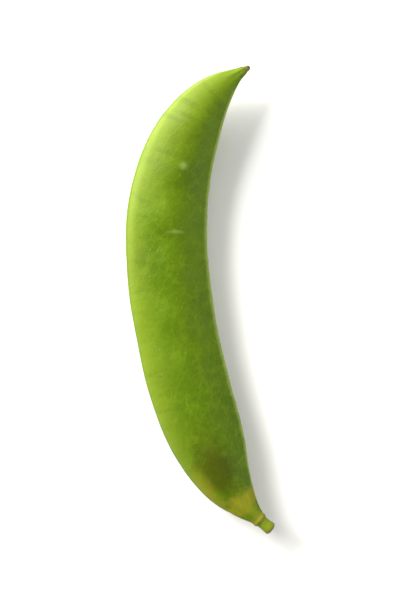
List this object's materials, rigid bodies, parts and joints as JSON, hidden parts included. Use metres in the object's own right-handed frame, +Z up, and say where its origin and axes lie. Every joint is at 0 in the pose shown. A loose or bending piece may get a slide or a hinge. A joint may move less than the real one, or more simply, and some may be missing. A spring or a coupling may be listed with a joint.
{
  "type": "snow pea pod",
  "caption": "Single fresh snow pea pod: a flat, gently curved green pod with a ribbed seam, a short stalk stub and a pointed beak, lying on its side.",
  "frame": {"origin": "on the resting surface, under the middle of the bounding box", "axes": "+Y from the stalk end to the beak, +X towards the hollow side of the bend where the seam runs, +Z up out of the surface"},
  "size_m": [0.0274, 0.086, 0.0077],
  "materials": {
    "pod_skin": "satin, slightly waxy"
  },
  "bodies": {
    "root": {"pod": "pod_skin"}
  },
  "joints": []
}
